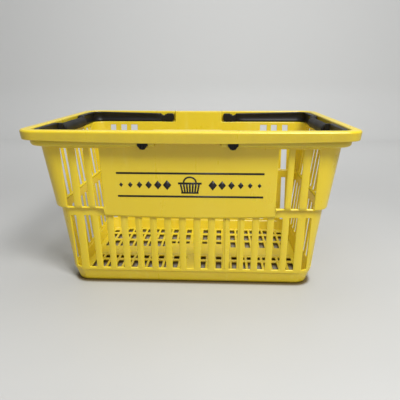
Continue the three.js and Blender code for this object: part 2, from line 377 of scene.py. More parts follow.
def wall_sheet(bow, bulge):
    """The wall as one closed band. Column by column round the basket, counter-clockwise from above:
    front, corner, right end, corner, rear, corner, left end, corner. A front or rear column keeps its
    X and an end column its Y at every height, and each reads the other coordinate off the rounded
    rectangle of its row; a corner column is an equal share of the corner's turn in that row. The bow
    lowers the long sides' rim along a parabola that is deepest in the middle."""
    long_x = long_side_columns()
    short_y = short_side_columns()
    last_x = long_x[-1]
    kinds, along = [], []
    share = (np.arange(CORNER_STEPS) + 0.5) / CORNER_STEPS
    for side, places in (("front", long_x), ("right", short_y), ("rear", -long_x), ("left", -short_y)):
        for place in places:
            kinds.append(side)
            along.append(place)
        turning = share if side in ("front", "rear") else 1 - share
        for part in turning:
            kinds.append("corner after " + side)
            along.append(part)
    profiles = []
    for kind, place in zip(kinds, along):
        if kind in ("front", "rear") and abs(place) <= TROUGH_START[0]:
            profiles.append(wall_profile("centre", place))
        elif kind in ("front", "rear") and abs(place) <= PANEL_END[0]:
            profiles.append(wall_profile("panel", place))
        else:
            profiles.append(wall_profile("belt", 0))
    names = [row[0] for row in profiles[0]]
    measures = np.array([[row[1:] for row in profile] for profile in profiles])
    z, inset, radius = measures.transpose(2, 1, 0)
    kinds, along = np.array(kinds), np.array(along)
    inset = inset - bar_bulge(names, kinds, along, bulge)
    half_x, half_y = RIM_LENGTH / 2 - inset, RIM_WIDTH / 2 - inset
    spread = np.broadcast_to(along, z.shape)

    def on_long_side(places):
        return kept_clear(places, last_x, half_x, radius, LONG_BEND_SHARE)

    def on_short_side(places):
        return kept_clear(places, SHORT_SIDE_LIMIT, half_y, radius, SHORT_BEND_SHARE)

    long_place, short_place = on_long_side(spread), on_short_side(spread)
    long_reach = straight_reach(long_place, half_y, half_x, radius)
    short_reach = straight_reach(short_place, half_x, half_y, radius)
    long_end = on_long_side(np.full_like(z, last_x))
    short_end = on_short_side(np.full_like(z, SHORT_SIDE_LIMIT))
    start = np.arcsin(np.clip((long_end - half_x + radius) / radius, 0, 1))
    end = np.arccos(np.clip((short_end - half_y + radius) / radius, 0, 1))
    turn = start + (end - start) * spread
    corner_x = half_x - radius + radius * np.sin(turn)
    corner_y = half_y - radius + radius * np.cos(turn)

    long_side = (kinds == "front") | (kinds == "rear")
    short_side = (kinds == "right") | (kinds == "left")
    sign_x = np.where(np.isin(kinds, ["right", "corner after front", "corner after right"]), 1, -1)
    sign_y = np.where(np.isin(kinds, ["rear", "corner after right", "corner after rear"]), 1, -1)
    x = np.where(long_side, long_place, np.where(short_side, sign_x * short_reach, sign_x * corner_x))
    y = np.where(long_side, sign_y * long_reach, np.where(short_side, short_place, sign_y * corner_y))
    from_end = np.arange(len(names)) - len(names)
    top_rows = np.clip((from_end + BOW_ROWS) / BOW_RISE, 0, 1)[:, None]
    skirt_rows = np.clip(from_end + 2, 0, 1)[:, None]
    middle = np.clip(1 - (x / (RIM_LENGTH / 2 - RIM_RADIUS)) ** 2, 0, 1)
    z = np.where(long_side, z - bow * middle * (TOP_BOW * top_rows + SKIRT_BOW * skirt_rows), z)
    return names, kinds, along, np.stack([x, y, z], axis=-1)


def wall_faces(names, kinds, along):
    """The band's quads, leaving out the slots, the shelf's openings under the handles' ends and the
    windows for the clips' feet."""
    row_of = {name: i for i, name in enumerate(names) if name}
    rows, columns = len(names), len(kinds)
    following = np.roll(np.arange(columns), -1)
    middle = np.abs((along + along[following]) / 2)
    long_side = ((kinds == "front") | (kinds == "rear")) & (kinds == kinds[following])
    short_side = ((kinds == "right") | (kinds == "left")) & (kinds == kinds[following])
    nearest = np.round(middle / SLOT_PITCH)
    half = np.where(nearest == LONG_SIDE_SLOTS, END_SLOT_WIDTH, SLOT_WIDTH) / 2
    from_slot = np.abs(middle - nearest * SLOT_PITCH)
    in_short_slot = (from_slot < SHORT_SIDE_SLOT_WIDTH / 2) & (nearest <= SHORT_SIDE_SLOTS)
    in_end_slot = np.abs(middle - SHORT_END_SLOT) < END_SLOT_WIDTH / 2
    short_slots = short_side & (in_short_slot | in_end_slot)
    lower_slots = (long_side & (from_slot < half) & (nearest <= LONG_SIDE_SLOTS)) | short_slots
    upper_slots = short_slots
    for start, end in UPPER_SLOTS.values():
        upper_slots = upper_slots | (long_side & (middle > start) & (middle < end))
    shelf_holes = long_side & (middle > SHELF_HOLE[0]) & (middle < SHELF_HOLE[1])
    windows = long_side & (middle > CLIP_WINDOW[0]) & (middle < CLIP_WINDOW[1])

    open_cells = np.zeros((rows - 1, columns), bool)
    open_cells[row_of["slot bottom"] : row_of["slot top"]] |= lower_slots
    open_cells[row_of["upper bottom"] : row_of["upper top"]] |= upper_slots
    open_cells[row_of["shelf in"] : row_of["shelf out"]] |= shelf_holes
    open_cells[row_of["shelf out"] : row_of["window top"]] |= windows
    row, column = np.nonzero(~open_cells)
    low, low_next = row * columns + column, row * columns + following[column]
    return np.stack([low, low + columns, low_next + columns, low_next], axis=1).tolist()


# ---------------------------------------------------------------- the floor's grid

FLOOR_SLOT_FIRST, FLOOR_SLOT_PITCH, FLOOR_SLOTS = 15.5, 12.5, 12
FLOOR_SLOT_HALF = 4.25
FLOOR_INNER, FLOOR_INNER_LONG, FLOOR_MIDDLE = (26.0, 38.0), (12.0, 38.0), (45.0, 70.0)
FLOOR_OUTER, FLOOR_OUTER_CORNER = (77.5, 97.0), (77.5, 89.0)
PLAIN_CENTRE = 47.0
FLOOR_BEAD, FLOOR_BEAD_HEIGHT = (-21.8, -21.2, -19.6, -19.0), 0.8
FLOOR_FRAME = (158.45, 98.0)
FLOOR_INSET, FLOOR_RADIUS = 49.0, 16.7
FLOOR_CORNER_STEPS = 9


def floor_opening(x, y):
    """True where a place on the floor lies in one of its narrow openings: rows and columns of them
    leave a plain cross in the middle, whose rear arm is shorter outside the plain centre."""
    column = np.round((np.abs(x) - FLOOR_SLOT_FIRST) / FLOOR_SLOT_PITCH)
    centre = FLOOR_SLOT_FIRST + column * FLOOR_SLOT_PITCH
    in_column = (column >= 0) & (column < FLOOR_SLOTS) & (np.abs(np.abs(x) - centre) < FLOOR_SLOT_HALF)

    def between(row):
        return (np.abs(y) > row[0]) & (np.abs(y) < row[1])

    long_rows = (y > 0) & (centre > PLAIN_CENTRE)
    inner = np.where(long_rows, between(FLOOR_INNER_LONG), between(FLOOR_INNER))
    outer = np.where(column == FLOOR_SLOTS - 1, between(FLOOR_OUTER_CORNER), between(FLOOR_OUTER))
    return in_column & (inner | between(FLOOR_MIDDLE) | outer)


def floor_lines():
    """The grid's lines: both edges of every opening, the bead's edges and the grid's own frame."""
    centres = FLOOR_SLOT_FIRST + np.arange(FLOOR_SLOTS) * FLOOR_SLOT_PITCH
    edges = [*(centres - FLOOR_SLOT_HALF), *(centres + FLOOR_SLOT_HALF)]
    lines_x = mirrored([*edges, FLOOR_FRAME[0]])
    rows = np.concatenate([FLOOR_INNER, FLOOR_INNER_LONG, FLOOR_MIDDLE, FLOOR_OUTER, FLOOR_OUTER_CORNER])
    lines_y = np.unique(np.concatenate([mirrored([*rows, FLOOR_FRAME[1]]), FLOOR_BEAD]))
    return lines_x, lines_y


def floor_sheet(top):
    """The grid with its openings left out and a low bead across it, and a border that joins the grid's
    frame to a rounded rectangle: straight across from each grid line, and as a fan round each corner."""
    lines_x, lines_y = floor_lines()
    across, along = np.meshgrid(lines_x, lines_y)
    on_bead = np.isin(along, FLOOR_BEAD[1:3]) & (np.abs(across) < FLOOR_FRAME[0] - 1)
    grid = np.stack([across, along, top + FLOOR_BEAD_HEIGHT * on_bead], axis=-1)
    middle_x, middle_y = np.meshgrid((lines_x[1:] + lines_x[:-1]) / 2, (lines_y[1:] + lines_y[:-1]) / 2)
    row, column = np.nonzero(~floor_opening(middle_x, middle_y))
    n = len(lines_x)
    corner = row * n + column
    quads = np.stack([corner, corner + 1, corner + n + 1, corner + n], axis=1).tolist()

    half_x, half_y = RIM_LENGTH / 2 - FLOOR_INSET, RIM_WIDTH / 2 - FLOOR_INSET
    start_x, start_y = half_x - FLOOR_RADIUS, half_y - FLOOR_RADIUS
    turn = np.linspace(0, math.pi / 2, FLOOR_CORNER_STEPS)
    straight_x = lines_x[np.abs(lines_x) < start_x]
    straight_y = lines_y[np.abs(lines_y) < start_y]
    late_x = lines_x[lines_x >= start_x]
    late_y = lines_y[lines_y >= start_y]
    spare = len(turn) - len(late_x) - len(late_y) + 1
    fan_x = np.concatenate([late_x, np.full(spare + len(late_y) - 1, late_x[-1])])
    fan_y = np.concatenate([np.full(len(late_x) + spare, late_y[-1]), late_y[-2::-1]])

    def ring_part(xs, ys):
        xs, ys = np.broadcast_arrays(np.asarray(xs, float), np.asarray(ys, float))
        return np.column_stack([xs, ys, np.full(xs.shape, top)])

    inner, outer = [], []
    for side_x, side_y in ((1, -1), (1, 1), (-1, 1), (-1, -1)):
        after_long_side = side_x * side_y < 0
        if after_long_side:
            line = side_x * straight_x
            inner.append(ring_part(line, side_y * FLOOR_FRAME[1]))
            outer.append(ring_part(line, side_y * half_y))
        else:
            line = side_y * straight_y
            inner.append(ring_part(side_x * FLOOR_FRAME[0], line))
            outer.append(ring_part(side_x * half_x, line))
        order = slice(None) if after_long_side else slice(None, None, -1)
        arc_x = start_x + FLOOR_RADIUS * np.sin(turn)
        arc_y = start_y + FLOOR_RADIUS * np.cos(turn)
        inner.append(ring_part(side_x * fan_x[order], side_y * fan_y[order]))
        outer.append(ring_part(side_x * arc_x[order], side_y * arc_y[order]))
    inner, outer = np.concatenate(inner), np.concatenate(outer)
    count = len(inner)
    place = grid.shape[0] * grid.shape[1] + np.arange(count)
    following = np.roll(place, -1)
    border = np.stack([place + count, following + count, following, place], axis=1)
    points = np.concatenate([grid.reshape(-1, 3), inner, outer])
    return merge_points(points, quads + border.tolist())


# ---------------------------------------------------------------- handles

HANDLE_BOTTOM = SHELF_TOP + 0.3
STRAP_OUTER, STRAP_INNER = 139.8, 133.0
CROSSBAR_OUTER, CROSSBAR_INNER = 201.0, 194.2
STRAP_CORNER = 17.6
TAIL_X, TAIL_RADIUS = 46.0, 4.0
STRAP_TOP = (221.5, 224.8)
TOP_RISE_START = 70
EAR = (134.6, 138.5)
EAR_END = (69.5, 72.5)
NOTCH = (64.5, 6.0, 3.5)
GRIP_HALF, GRIP_X, GRIP_Z, GRIP_RADIUS = 48.5, 192.8, 214.8, 8.0
GRIP_END, GRIP_END_DROP, GRIP_WAIST, GRIP_GAP = 2.4, 1.6, 0.35, 0.3
CORE_HALF_X, CORE_HALF_Z = 3.2, 4.5
SHOULDER_LENGTH, FLARE_START, FLARE_LENGTH = 5.0, 2.6, 3.2
SHOULDER_PROUD, SHOULDER_BELOW_TOP, SHOULDER_SET_BACK = 0.3, 1, 0.5
CHANNEL_EDGE, CHANNEL_FLOOR = 3.0, 3.8
CHANNEL_FADE, CHANNEL_STOP, CHANNEL_STOP_FADE, CHANNEL_FULL_HEIGHT = 8, 14, 6, 14


def strap_stations():
    """The strap's centre line in plan, the direction of its outer side, how far its inner and outer
    faces stand from that line, its lowest and highest point and its channel's share, from the front
    tail round the corner to the middle of the crossbar. The notch is a parabola and the tail's end a
    quarter circle."""
    centre_y = (STRAP_OUTER + STRAP_INNER) / 2
    centre_x = (CROSSBAR_OUTER + CROSSBAR_INNER) / 2
    half = (STRAP_OUTER - STRAP_INNER) / 2
    notch_x, notch_half, notch_depth = NOTCH
    notch_start, notch_end = notch_x - notch_half, notch_x + notch_half

    tail = TAIL_X + TAIL_RADIUS * (1 - np.cos(np.linspace(0, math.pi / 2, 6)))
    before_notch = np.linspace(tail[-1] + 1, notch_start, 4)
    notch = np.linspace(notch_start + 0.75, notch_end, 15)
    arm = np.linspace(notch_end + 2, centre_x - STRAP_CORNER, 16)
    x = np.unique(np.concatenate([tail, before_notch, notch, [*EAR_END], arm]))
    y = np.full_like(x, -centre_y)

    turn = np.linspace(0, math.pi / 2, 10)[1:]
    corner_x = centre_x - STRAP_CORNER + STRAP_CORNER * np.sin(turn)
    corner_y = -centre_y + STRAP_CORNER - STRAP_CORNER * np.cos(turn)
    end = GRIP_HALF + GRIP_GAP
    shoulder = end + SHOULDER_LENGTH
    bar_y = -np.concatenate([
        np.linspace(centre_y - STRAP_CORNER - 5, shoulder + 4, 5),
        shoulder + np.array([FLARE_START, 1.3, 0.4, -0.6]),
        [end + 0.6, end + 0.15, end, end - 0.1, end - 10, 0.0],
    ])
    bar_x = np.full_like(bar_y, centre_x)
    xs = np.concatenate([x, corner_x, bar_x])
    ys = np.concatenate([y, corner_y, bar_y])
    out = np.concatenate([
        np.tile([0.0, -1.0], (len(x), 1)),
        np.column_stack([np.sin(turn), -np.cos(turn)]),
        np.tile([1.0, 0.0], (len(bar_y), 1)),
    ])
    rise = np.clip((xs - TOP_RISE_START) / (CROSSBAR_OUTER - TOP_RISE_START), 0, 1)
    top = STRAP_TOP[0] + (STRAP_TOP[1] - STRAP_TOP[0]) * rise
    in_notch = np.clip(1 - ((xs - notch_x) / notch_half) ** 2, 0, 1)
    top = top - notch_depth * in_notch
    bottom = np.full_like(xs, HANDLE_BOTTOM)
    rounding = np.clip(1 - (xs - TAIL_X) / TAIL_RADIUS, 0, 1)
    lift = TAIL_RADIUS * (1 - np.sqrt(1 - rounding**2))
    top, bottom = top - lift, bottom + lift

    inner, outer = np.full_like(xs, -half), np.full_like(xs, half)
    ear = np.clip((EAR_END[1] - xs) / (EAR_END[1] - EAR_END[0]), 0, 1)
    inner = inner + ear * (EAR[0] - STRAP_INNER)
    outer = outer - ear * (STRAP_OUTER - EAR[1])

    # Shoulder, then core: the section moves inboard and shrinks inside the grip.
    on_bar = xs > centre_x - 0.01
    flare = np.where(on_bar, np.clip((shoulder + FLARE_START - np.abs(ys)) / FLARE_LENGTH, 0, 1), 0)
    flare = flare**2 * (3 - 2 * flare)
    inner = inner + flare * (GRIP_X - CORE_HALF_X - SHOULDER_PROUD - centre_x - inner)
    outer = outer + flare * (CROSSBAR_OUTER - SHOULDER_SET_BACK - centre_x - outer)
    top = top + flare * (STRAP_TOP[1] - SHOULDER_BELOW_TOP - top)
    core = on_bar & (np.abs(ys) < end + 0.05)
    inner = np.where(core, GRIP_X - CORE_HALF_X - centre_x, inner)
    outer = np.where(core, GRIP_X + CORE_HALF_X - centre_x, outer)
    bottom = np.where(core, GRIP_Z - CORE_HALF_Z, bottom)
    top = np.where(core, GRIP_Z + CORE_HALF_Z, top)
    near_grip = np.clip((shoulder + CHANNEL_STOP - np.abs(ys)) / CHANNEL_STOP_FADE, 0, 1)
    recess = np.clip((xs - EAR_END[1]) / CHANNEL_FADE, 0, 1) * (1 - np.where(on_bar, near_grip, 0))
    return np.column_stack([xs, ys]), out, inner, outer, bottom, top, recess


def strap_section(radius, recess):
    """A section's outline as weights: each point is a share of inner-to-outer and of bottom-to-top
    plus an offset in millimetres. Each corner is a quarter circle, and a shallow channel runs down
    the middle of both faces."""
    turn = np.linspace(0, math.pi / 2, 4)
    corners = ((1, 0, -math.pi / 2), (1, 1, 0), (0, 1, math.pi / 2), (0, 0, math.pi))
    rows = []
    for share_out, share_up, start in corners:
        sign_out, sign_up = 2 * share_out - 1, 2 * share_up - 1
        for angle in start + turn:
            offset_out = radius * (math.cos(angle) - sign_out)
            offset_up = radius * (math.sin(angle) - sign_up)
            rows.append([share_out, share_up, offset_out, offset_up, 0])
        if share_out != share_up:
            depth = -sign_out * recess
            rows += [
                [share_out, share_up, 0, -sign_up * CHANNEL_EDGE, 0],
                [share_out, share_up, 0, -sign_up * CHANNEL_FLOOR, depth],
                [share_out, 1 - share_up, 0, sign_up * CHANNEL_FLOOR, depth],
                [share_out, 1 - share_up, 0, sign_up * CHANNEL_EDGE, 0],
            ]
    return np.array(rows)


def swept_faces(rings, points_per_ring):
    """Quads between neighbouring rings, with a flat cap on the first and the last."""
    ring, point = np.meshgrid(np.arange(rings - 1), np.arange(points_per_ring), indexing="ij")
    following = (point + 1) % points_per_ring
    a = ring * points_per_ring + point
    b = ring * points_per_ring + following
    quads = np.stack([a, b, b + points_per_ring, a + points_per_ring], axis=-1).reshape(-1, 4).tolist()
    last = (rings - 1) * points_per_ring
    caps = [list(range(points_per_ring))[::-1], list(range(last, last + points_per_ring))]
    return quads + caps


def strap_mesh(side, radius, recess_depth):
    """The section carried along the whole strap: place = centre + outward direction x (inner + share x
    width + offset), height = bottom + share x height + offset. side is -1 for the left handle."""
    centre, out, inner, outer, bottom, top, recess = strap_stations()
    mirror = slice(-2, None, -1)
    centre = np.vstack([centre, centre[mirror] * (1, -1)])
    out = np.vstack([out, out[mirror] * (1, -1)])
    inner, outer, bottom, top, recess = (
        np.concatenate([values, values[mirror]]) for values in (inner, outer, bottom, top, recess)
    )
    section = strap_section(radius, recess_depth)
    share_out, share_up, offset_out, offset_up, channel = section.T
    width, tall = outer - inner, top - bottom
    shrink = np.clip(np.minimum(width, tall) / (2 * radius + 0.2), 0, 1)[:, None]
    along_out = inner[:, None] + share_out * width[:, None] + offset_out * shrink
    along_out = along_out + channel * recess[:, None]
    channel_row = (offset_out == 0) & (np.abs(offset_up) >= CHANNEL_EDGE)
    squeeze = np.where(channel_row, np.clip(tall[:, None] / CHANNEL_FULL_HEIGHT, 0, 1), shrink)
    height = bottom[:, None] + share_up * tall[:, None] + offset_up * squeeze
    x = side * (centre[:, :1] + out[:, :1] * along_out)
    y = centre[:, 1:] + out[:, 1:] * along_out
    points = np.stack([x, y, height], axis=-1)
    rings, count = points.shape[:2]
    faces = swept_faces(rings, count)
    if side > 0:
        faces = [face[::-1] for face in faces]
    return points.reshape(-1, 3), faces


def grip_mesh(side):
    """A round sleeve along Y: radius = full radius, less a quarter-circle rounding at each end, less a
    slight waist (cosine along the sleeve) between each end and the middle."""
    y = np.concatenate([[0, 0.15, 0.5, 1.0, 1.6, GRIP_END], np.linspace(4, 2 * GRIP_HALF - 4, 40)])
    y = np.concatenate([y, 2 * GRIP_HALF - y[5::-1]]) - GRIP_HALF
    angle = np.linspace(0, 2 * math.pi, 48, endpoint=False)
    end = np.clip(GRIP_HALF - np.abs(y), 0, GRIP_END) / GRIP_END
    rounding = GRIP_END_DROP * (1 - np.sqrt(1 - (1 - end) ** 2))
    waist = GRIP_WAIST * (1 - np.cos(2 * math.pi * y / GRIP_HALF)) / 2
    radius = GRIP_RADIUS - rounding - waist
    x = side * (GRIP_X + radius[:, None] * np.cos(angle))
    z = GRIP_Z + radius[:, None] * np.sin(angle)
    points = np.stack(np.broadcast_arrays(x, y[:, None], z), axis=-1)
    faces = swept_faces(len(y), len(angle))
    if side < 0:
        faces = [face[::-1] for face in faces]
    return points.reshape(-1, 3), faces


# ---------------------------------------------------------------- the printed mark

MARK_HALF_LENGTH, MARK_LOW, MARK_HIGH = 96.5, 134.5, 169.3
MARK_CENTRE = 1.5
MARK_DEPTH, MARK_CLEARANCE = 0.15, 0.03
RULE = 2.6
DIAMONDS, FIRST_DIAMOND, DIAMOND_PITCH = 6, 30, 12.2
DIAMOND_SIZE, DIAMOND_SHRINK, DIAMOND_TALL = 5.6, 0.62, 1.25
ICON_RIM, ICON_RIM_HALF = (1.2, 3.8), 15.5
ICON_BASE, ICON_BASE_HALF = (-11.8, -9.6), 11.4
ICON_BARS, ICON_BAR_PITCH, ICON_TAPER = 3, 4.0, 0.82
ICON_BAR_LOW, ICON_BAR_FOOT, ICON_BAR_HEAD = -10.6, 1.1, 1.2
ICON_HANDLE_WIDTH, ICON_HANDLE_RISE = (7.0, 9.2), (6.2, 8.4)


def panel_point(x, z):
    """The point on the front panel's outer face at that place and height."""
    y = -(RIM_WIDTH / 2 - upper_inset(z) + WALL) - MARK_CLEARANCE
    return np.stack([x, y, z], axis=-1)


def strip(low, high):
    """Quads between two lines of points in the panel's own X and Z."""
    n = len(low)
    points = np.concatenate([low, high])
    faces = [[i, i + 1, n + i + 1, n + i] for i in range(n - 1)]
    return points, faces


def mark_shapes():
    """A generic mark: two plain rules, a line drawing of a basket in the middle, and a row of
    diamonds on each side that get smaller outwards."""
    middle = (MARK_LOW + MARK_HIGH) / 2
    shapes = []

    def bar(half, low, high):
        ends = np.array([-half, half])
        shapes.append(strip(np.column_stack([ends, [low, low]]), np.column_stack([ends, [high, high]])))

    for low in (MARK_LOW, MARK_HIGH - RULE):
        bar(MARK_HALF_LENGTH, low, low + RULE)
    for i in range(DIAMONDS):
        size = DIAMOND_SIZE - DIAMOND_SHRINK * i
        for side in (-1, 1):
            x = side * (FIRST_DIAMOND + DIAMOND_PITCH * i) + np.array([-size, 0, size])
            half = size * DIAMOND_TALL * np.array([0, 1, 0])
            shapes.append(strip(np.column_stack([x, middle - half]), np.column_stack([x, middle + half])))
    rim_low, rim_high = middle + ICON_RIM[0], middle + ICON_RIM[1]
    bar(ICON_RIM_HALF, rim_low, rim_high)
    for i in range(-ICON_BARS, ICON_BARS + 1):
        x = i * ICON_BAR_PITCH
        foot = x * ICON_TAPER
        bottom = middle + ICON_BAR_LOW
        low = np.array([[foot - ICON_BAR_FOOT, bottom], [foot + ICON_BAR_FOOT, bottom]])
        high = np.array([[x - ICON_BAR_HEAD, rim_low], [x + ICON_BAR_HEAD, rim_low]])
        shapes.append(strip(low, high))
    bar(ICON_BASE_HALF, middle + ICON_BASE[0], middle + ICON_BASE[1])
    turn = np.linspace(0, math.pi, 17)
    inner, outer = (
        np.column_stack([width * np.cos(turn), rim_high + rise * np.sin(turn)])
        for width, rise in zip(ICON_HANDLE_WIDTH, ICON_HANDLE_RISE)
    )
    shapes.append(strip(outer, inner))
    return shapes


def mark_sheet():
    """All of the mark's shapes, laid on the panel."""
    points, faces, count = [], [], 0
    for shape, shape_faces in mark_shapes():
        points.append(panel_point(shape[:, 0] + MARK_CENTRE, shape[:, 1]))
        faces += [[corner + count for corner in face] for face in shape_faces]
        count += len(shape)
    return merge_points(np.concatenate(points), faces)


# ---------------------------------------------------------------- materials


class Value:
    """A shader socket that can be added to, multiplied and so on: each operator adds its Math node."""

    def __init__(self, tree, socket):
        self.tree, self.socket = tree, socket

    def _math(self, operation, first, second):
        node = self.tree.nodes.new("ShaderNodeMath")
        node.operation = operation
        for slot, value in zip(node.inputs, (first, second)):
            if isinstance(value, Value):
                self.tree.links.new(value.socket, slot)
            else:
                slot.default_value = value
        return Value(self.tree, node.outputs[0])

    def __add__(self, other):
        return self._math("ADD", self, other)

    def __sub__(self, other):
        return self._math("SUBTRACT", self, other)

    def __rsub__(self, other):
        return self._math("SUBTRACT", other, self)

    def __mul__(self, other):
        return self._math("MULTIPLY", self, other)

    def __pow__(self, other):
        return self._math("POWER", self, other)

    def __abs__(self):
        return self._math("ABSOLUTE", self, 0.0)

    def beyond(self, limit):
        """How far the value's size goes past a limit, and 0 below it."""
        return self._math("MAXIMUM", abs(self) - limit, 0.0)


class Surface:
    """One material's node tree, with its Principled shader."""

    def __init__(self, name, **constants):
        self.material = bpy.data.materials.new(name)
        self.material.use_nodes = True
        self.tree = self.material.node_tree
        self.shader = self.tree.nodes["Principled BSDF"]
        for socket, value in constants.items():
            self.shader.inputs[socket.replace("_", " ")].default_value = value

    def node(self, kind, settings=(), output=0, **inputs):
        """Adds a node, makes its settings, fills or links its sockets, and gives one output."""
        node = self.tree.nodes.new(kind)
        for key, value in dict(settings).items():
            setattr(node, key, value)
        for key, value in inputs.items():
            slot = node.inputs[int(key[1:])] if key[0] == "_" else node.inputs[key.replace("_", " ")]
            if isinstance(value, Value):
                self.tree.links.new(value.socket, slot)
            else:
                slot.default_value = value
        return Value(self.tree, node.outputs[output])

    def place(self):
        """The place on the object, in metres."""
        return self.node("ShaderNodeTexCoord", output="Object")

    def noise(self, scale, detail=3.0, roughness=0.55, vector=None):
        """A noise from 0 to 1."""
        inputs = {"Vector": vector or self.place(), "Scale": scale, "Detail": detail, "Roughness": roughness}
        return self.node("ShaderNodeTexNoise", **inputs)

    def stretched(self, scale):
        """The place on the object, scaled along each axis."""
        return self.node("ShaderNodeMapping", Vector=self.place(), Scale=scale)

    def between(self, value, low, high):
        """0 below low, 1 above high and a smooth ramp in between."""
        settings = {"interpolation_type": "SMOOTHSTEP"}
        return self.node("ShaderNodeMapRange", settings, Value=value, From_Min=low, From_Max=high)

    def mix(self, factor, first, second):
        """A colour between two colours."""
        settings = {"data_type": "RGBA"}
        return self.node("ShaderNodeMix", settings, output=2, _0=factor, _6=first, _7=second)

    def bump(self, height, strength, distance):
        """A normal from a height."""
        return self.node("ShaderNodeBump", Height=height, Strength=strength, Distance=distance)

    def rim_skirt_shade_mask(self):
        """1 on the rim's outer face and 0 elsewhere: the distance from a rectangle inside the rim, whose
        corners are the centres of the rim's own corners, is nearly the corner radius only there. It masks
        the painted shade on the skirt."""
        place = self.place()
        x, y, z = (self.node("ShaderNodeSeparateXYZ", output=axis, Vector=place) for axis in range(3))
        beyond_x = x.beyond((RIM_LENGTH / 2 - RIM_RADIUS) * MM)
        beyond_y = y.beyond((RIM_WIDTH / 2 - RIM_RADIUS) * MM)
        distance = (beyond_x**2 + beyond_y**2) ** 0.5
        outside = self.between(distance, (RIM_RADIUS - 4) * MM, (RIM_RADIUS - 2.5) * MM)
        return outside * (1 - self.between(z, (HEIGHT - 4.0) * MM, (HEIGHT - 1.2) * MM))

    def feed(self, **inputs):
        """Links the shader's sockets."""
        for key, value in inputs.items():
            self.tree.links.new(value.socket, self.shader.inputs[key.replace("_", " ")])


def shell_plastic(finish):
    """Satin moulded plastic that light sinks into a little: a slightly uneven yellow, long faint rubs,
    dirt specks and a fine skin. The rim's outer face is darkened by painted shade, laid in the dirt colour."""
    surface = Surface(
        "shell_plastic",
        Specular_IOR_Level=0.6,
        Subsurface_Weight=0.35,
        Subsurface_Scale=0.006,
        Subsurface_Radius=(1.0, 0.75, 0.15),
    )
    cloud = surface.noise(7.0, 4.0)
    rubs = surface.noise(60.0, 5.0, 0.65, surface.stretched((1.0, 1.0, 0.12)))
    specks = surface.noise(420.0, 2.0, 0.6)
    blotch = surface.noise(24.0, 5.0, 0.7)
    rubbed = surface.between(rubs, 0.56, 0.78) * 0.5 + surface.between(cloud, 0.45, 0.75) * 0.25
    dirty = surface.between(blotch, 0.60, 0.80) * 0.22 + surface.between(specks, 0.68, 0.78) * 0.25
    colour = surface.mix(rubbed, tuple(finish.shell), tuple(finish.scuff))
    colour = surface.mix(dirty, colour, tuple(finish.grime_and_shade))
    # painted shade: the dirt colour covers 20 to 50 percent of the rim's outer face to darken it like shade
    colour = surface.mix(surface.rim_skirt_shade_mask() * (rubs * 0.3 + 0.2), colour, tuple(finish.grime_and_shade))
    roughness = rubs * 0.22 + blotch * 0.12 + 0.14
    skin = surface.noise(900.0, 2.0) * 0.4 + surface.noise(38.0, 2.0) * 1.6
    surface.feed(Base_Color=colour, Roughness=roughness, Normal=surface.bump(skin, 0.25, 0.0004))
    return surface.material


def black_plastic(name, colour, grain, gloss):
    """Black moulded plastic: dusty patches, a pebbled skin of the given grain, and uneven gloss."""
    surface = Surface(name, Specular_IOR_Level=0.35)
    dust = surface.noise(35.0, 5.0, 0.7)
    scratches = surface.noise(240.0, 4.0, 0.6, surface.stretched((0.2, 0.2, 1.0)))
    dusty = surface.between(dust, 0.42, 0.75) * 0.5 + surface.between(scratches, 0.6, 0.75) * 0.3
    grey = tuple(c * 1.8 + 0.004 for c in colour[:3]) + (1.0,)
    base = surface.mix(dusty, tuple(colour), grey)
    roughness = dust * 0.25 + scratches * 0.1 + gloss
    skin = surface.noise(grain, 2.0)
    surface.feed(Base_Color=base, Roughness=roughness, Normal=surface.bump(skin, 0.35, 0.0003))
    return surface.material


def panel_ink(colour):
    """Printed ink, worn thin in small flecks where the wall's colour greys it."""
    surface = Surface("panel_ink", Specular_IOR_Level=0.4)
    wear = surface.noise(160.0, 5.0, 0.7)
    worn = surface.between(wear, 0.60, 0.78) * 0.35
    base = surface.mix(worn, tuple(colour), (0.16, 0.12, 0.03, 1.0))
    surface.feed(Base_Color=base, Roughness=wear * 0.25 + 0.32)
    return surface.material


def pale_ground():
    """A matt pale surface with a hint of mottling, paler where it rises into the backdrop as painted light
    that makes up for the dimmer light there, and darkened by painted shade in the crevices close under the
    object."""
    surface = Surface("pale_ground", Specular_IOR_Level=0.3)
    mottle = surface.noise(3.0, 4.0)
    depth = surface.node("ShaderNodeSeparateXYZ", output=1, Vector=surface.place())
    near = surface.mix(mottle, (0.47, 0.47, 0.46, 1.0), (0.52, 0.52, 0.51, 1.0))
    # painted light: the ground is paler towards the back to make up for the dimmer light on the far backdrop
    colour = surface.mix(surface.between(depth, 0.2, 1.2), near, (0.76, 0.76, 0.745, 1.0))
    # painted shade: the ground turns dark brown where little sky is open within 9 mm, a contact shadow under
    # the basket and its floor openings
    free = surface.node("ShaderNodeAmbientOcclusion", {"samples": 8}, output=1, Distance=0.009)
    colour = surface.mix(surface.between(free, 0.62, 0.98), (0.12, 0.085, 0.03, 1.0), colour)
    surface.feed(Base_Color=colour, Roughness=mottle * 0.1 + 0.5)
    return surface.material


# ---------------------------------------------------------------- operators


class BASKET_OT_shell(bpy.types.Operator):
    """Make the moulded shell with its slotted floor"""

    bl_idname = "basket.make_shell"
    bl_label = "Basket Shell"

    def execute(self, context):
        sizes, finish = context.scene.basket_shell, context.scene.basket_finish
        material = shell_plastic(finish)
        names, kinds, along, places = wall_sheet(sizes.bow / MM, sizes.bulge / MM)
        faces = wall_faces(names, kinds, along)
        fit = ("basket", "shell_plastic", material, ["basket_shell"])
        wall = add_mesh("shell_wall", places.reshape(-1, 3), faces, *fit)
        thicken(wall, sizes.wall, sizes.edge)
        points, faces = floor_sheet(sizes.floor_top / MM)
        floor = add_mesh("shell_floor", points, faces, *fit)
        thicken(floor, sizes.floor, sizes.edge)
        return {"FINISHED"}


